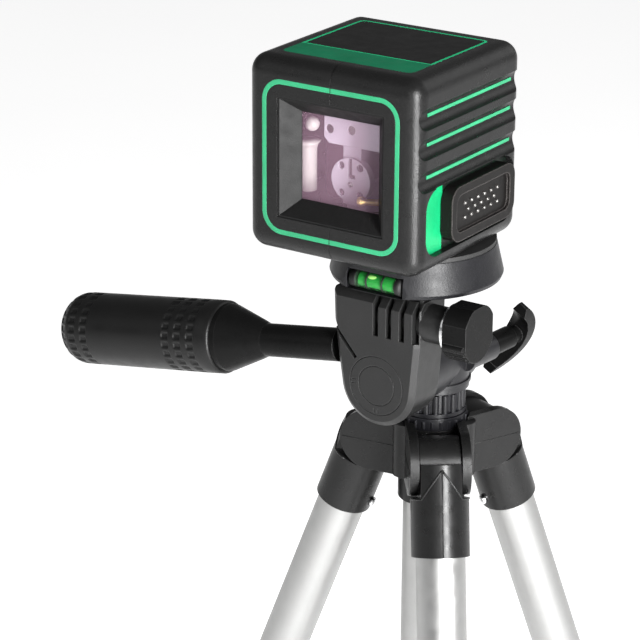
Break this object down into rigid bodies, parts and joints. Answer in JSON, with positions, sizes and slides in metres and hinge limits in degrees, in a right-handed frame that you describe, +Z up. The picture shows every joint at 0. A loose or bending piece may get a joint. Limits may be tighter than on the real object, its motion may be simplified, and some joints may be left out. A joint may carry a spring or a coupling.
{
  "type": "laser level on tripod",
  "caption": "Cube-shaped self-levelling laser on a compact tripod with a pan head, bubble vial, side-tilt platform, centre column and flip-lock telescopic legs.",
  "frame": {"origin": "on the floor, under the middle of the whole object", "axes": "+Z up; -Y the side the laser window faces; the pan handle points to -X"},
  "size_m": [0.219, 0.2316, 0.41],
  "materials": {
    "housing": "fine grained dark grey",
    "battery_door": "fine grained dark grey",
    "top_panel": "flat black",
    "top_trim": "satin green",
    "window_trim": "bright green",
    "groove_strips": "bright green",
    "switch_plate": "bright green",
    "bezel": "grained dark grey",
    "window_glass": "clear with a rose tint",
    "slider": "glossy black",
    "gimbal_frame": "satin",
    "gimbal_ring": "satin",
    "pendulum": "cast, satin",
    "laser_modules": "turned",
    "circuit_board": "green solder mask",
    "battery_tray": "black",
    "batteries": "plain sleeve",
    "screws": "zinc plated",
    "thread_insert": "turned",
    "platform_pad": "black",
    "platform": "speckled dark grey",
    "vial": "clear acrylic",
    "vial_liquid": "green liquid",
    "hinge_parts": "satin dark grey",
    "steel_pins": "turned",
    "washer": "polished",
    "knobs": "satin black",
    "head": "satin dark grey",
    "neck": "semi-gloss",
    "handle_neck": "glossy black",
    "handle_grip": "semi-matt black",
    "tubes": "anodised, satin",
    "hub": "satin dark grey",
    "lock_ring": "satin black",
    "sockets": "satin dark grey",
    "levers": "satin black",
    "feet": "black"
  },
  "bodies": {
    "hub": {"hub": "hub", "leg_pins": "screws"},
    "lock_ring": {"lock_ring": "lock_ring"},
    "column": {"column_neck": "neck", "column_tube": "tubes", "column_cap": "hub"},
    "pan": {"pan_body": "head", "tilt_axle": "steel_pins"},
    "pan_lock": {"pan_wing": "knobs"},
    "tilt": {"tilt_body": "head", "tilt_cap": "head", "hinge_pin": "steel_pins", "side_washer": "washer"},
    "handle": {"handle_neck": "handle_neck", "handle_grip": "handle_grip"},
    "side_lock": {"side_knob": "knobs"},
    "platform": {"hinge_bracket": "hinge_parts", "platform": "platform", "platform_pad": "platform_pad", "vial_tube": "vial", "vial_liquid": "vial_liquid", "cube_shell_left": "housing", "cube_shell_right": "housing", "top_panel": "top_panel", "top_trim": "top_trim", "window_trim": "window_trim", "window_bezel": "bezel", "window_glass": "window_glass", "groove_strips": "groove_strips", "switch_plate": "switch_plate", "gimbal_frame": "gimbal_frame", "circuit_board": "circuit_board", "battery_tray": "battery_tray", "batteries": "batteries", "case_screws": "screws", "thread_insert": "thread_insert"},
    "camera_screw": {"camera_screw": "screws"},
    "slider": {"lock_slider": "slider"},
    "battery_door": {"battery_door": "battery_door"},
    "gimbal_ring": {"gimbal_ring": "gimbal_ring"},
    "pendulum": {"pendulum": "pendulum", "laser_modules": "laser_modules"},
    "leg_front": {"socket_front": "sockets", "upper_tube_front": "tubes", "collar_front": "sockets"},
    "lever_front": {"lever_front": "levers"},
    "lower_front": {"lower_tube_front": "tubes", "foot_front": "feet"},
    "leg_rear": {"socket_rear": "sockets", "upper_tube_rear": "tubes", "collar_rear": "sockets"},
    "lever_rear": {"lever_rear": "levers"},
    "lower_rear": {"lower_tube_rear": "tubes", "foot_rear": "feet"},
    "leg_left": {"socket_left": "sockets", "upper_tube_left": "tubes", "collar_left": "sockets"},
    "lever_left": {"lever_left": "levers"},
    "lower_left": {"lower_tube_left": "tubes", "foot_left": "feet"}
  },
  "joints": [
    {"name": "column_lift", "type": "slide", "parent": "hub", "child": "column", "axis": [0, 0, 1], "range_m": [0, 0.1]},
    {"name": "column_lock", "type": "hinge", "parent": "hub", "child": "lock_ring", "pos_m": [0.02566, -0.00757, 0.2775], "axis": [0, 0, 1], "range_deg": [0, 60]},
    {"name": "pan", "type": "hinge", "parent": "column", "child": "pan", "pos_m": [0.02566, -0.00757, 0.289], "axis": [0, 0, 1], "continuous": true},
    {"name": "pan_lock_turn", "type": "hinge", "parent": "pan", "child": "pan_lock", "pos_m": [0.03766, 0.00243, 0.2998], "axis": [0.1045, 0.9945, 0], "range_deg": [0, 90]},
    {"name": "tilt", "type": "hinge", "parent": "pan", "child": "tilt", "pos_m": [0.02466, -0.03457, 0.2987], "axis": [0, 1, 0], "range_deg": [-30, 60]},
    {"name": "handle_twist", "type": "hinge", "parent": "tilt", "child": "handle", "pos_m": [0.01566, -0.03457, 0.3082], "axis": [-0.988, 0, -0.1547], "range_deg": [0, 90]},
    {"name": "side_tilt", "type": "hinge", "parent": "tilt", "child": "platform", "pos_m": [0.02566, -0.03537, 0.3221], "axis": [1, 0, 0], "range_deg": [0, 90]},
    {"name": "side_lock_turn", "type": "hinge", "parent": "tilt", "child": "side_lock", "pos_m": [0.02566, -0.03537, 0.3221], "axis": [1, 0, 0], "range_deg": [0, 180]},
    {"name": "camera_screw_turn", "type": "hinge", "parent": "platform", "child": "camera_screw", "pos_m": [0.02476, -0.01857, 0.335], "axis": [0, 0, 1], "continuous": true},
    {"name": "lock_slide", "type": "slide", "parent": "platform", "child": "slider", "axis": [0, -1, 0], "range_m": [0, 0.011]},
    {"name": "door_slide", "type": "slide", "parent": "platform", "child": "battery_door", "axis": [0, 1, 0], "range_m": [0, 0.012]},
    {"name": "gimbal_roll", "type": "hinge", "parent": "platform", "child": "gimbal_ring", "pos_m": [0.01786, -0.03657, 0.3975], "axis": [1, 0, 0], "range_deg": [-4, 4]},
    {"name": "pendulum_swing", "type": "hinge", "parent": "gimbal_ring", "child": "pendulum", "pos_m": [0.01786, -0.03657, 0.3975], "axis": [0, 1, 0], "range_deg": [-4, 4]},
    {"name": "leg_fold_front", "type": "hinge", "parent": "hub", "child": "leg_front", "pos_m": [0.0374, -0.02314, 0.2672], "axis": [0.7986, 0.6018, 0], "range_deg": [0, 20.5]},
    {"name": "leg_slide_front", "type": "slide", "parent": "leg_front", "child": "lower_front", "axis": [0.2108, -0.2797, -0.9367], "range_m": [0, 0.18]},
    {"name": "lever_turn_front", "type": "hinge", "parent": "leg_front", "child": "lever_front", "pos_m": [0.09587, -0.10074, 0.05843], "axis": [-0.7986, -0.6018, 0], "range_deg": [0, 100]},
    {"name": "leg_fold_rear", "type": "hinge", "parent": "hub", "child": "leg_rear", "pos_m": [0.03328, 0.01038, 0.2672], "axis": [-0.9205, 0.3907, 0], "range_deg": [0, 20.5]},
    {"name": "leg_slide_rear", "type": "slide", "parent": "leg_rear", "child": "lower_rear", "axis": [0.1368, 0.3224, -0.9367], "range_m": [0, 0.18]},
    {"name": "lever_turn_rear", "type": "hinge", "parent": "leg_rear", "child": "lever_rear", "pos_m": [0.07125, 0.09982, 0.05843], "axis": [0.9205, -0.3907, 0], "range_deg": [0, 100]},
    {"name": "leg_fold_left", "type": "hinge", "parent": "hub", "child": "leg_left", "pos_m": [0.00631, -0.00995, 0.2672], "axis": [0.1219, -0.9925, 0], "range_deg": [0, 20.5]},
    {"name": "leg_slide_left", "type": "slide", "parent": "leg_left", "child": "lower_left", "axis": [-0.3476, -0.0427, -0.9367], "range_m": [0, 0.18]},
    {"name": "lever_turn_left", "type": "hinge", "parent": "leg_left", "child": "lever_left", "pos_m": [-0.09013, -0.02179, 0.05843], "axis": [-0.1219, 0.9925, 0], "range_deg": [0, 100]}
  ]
}
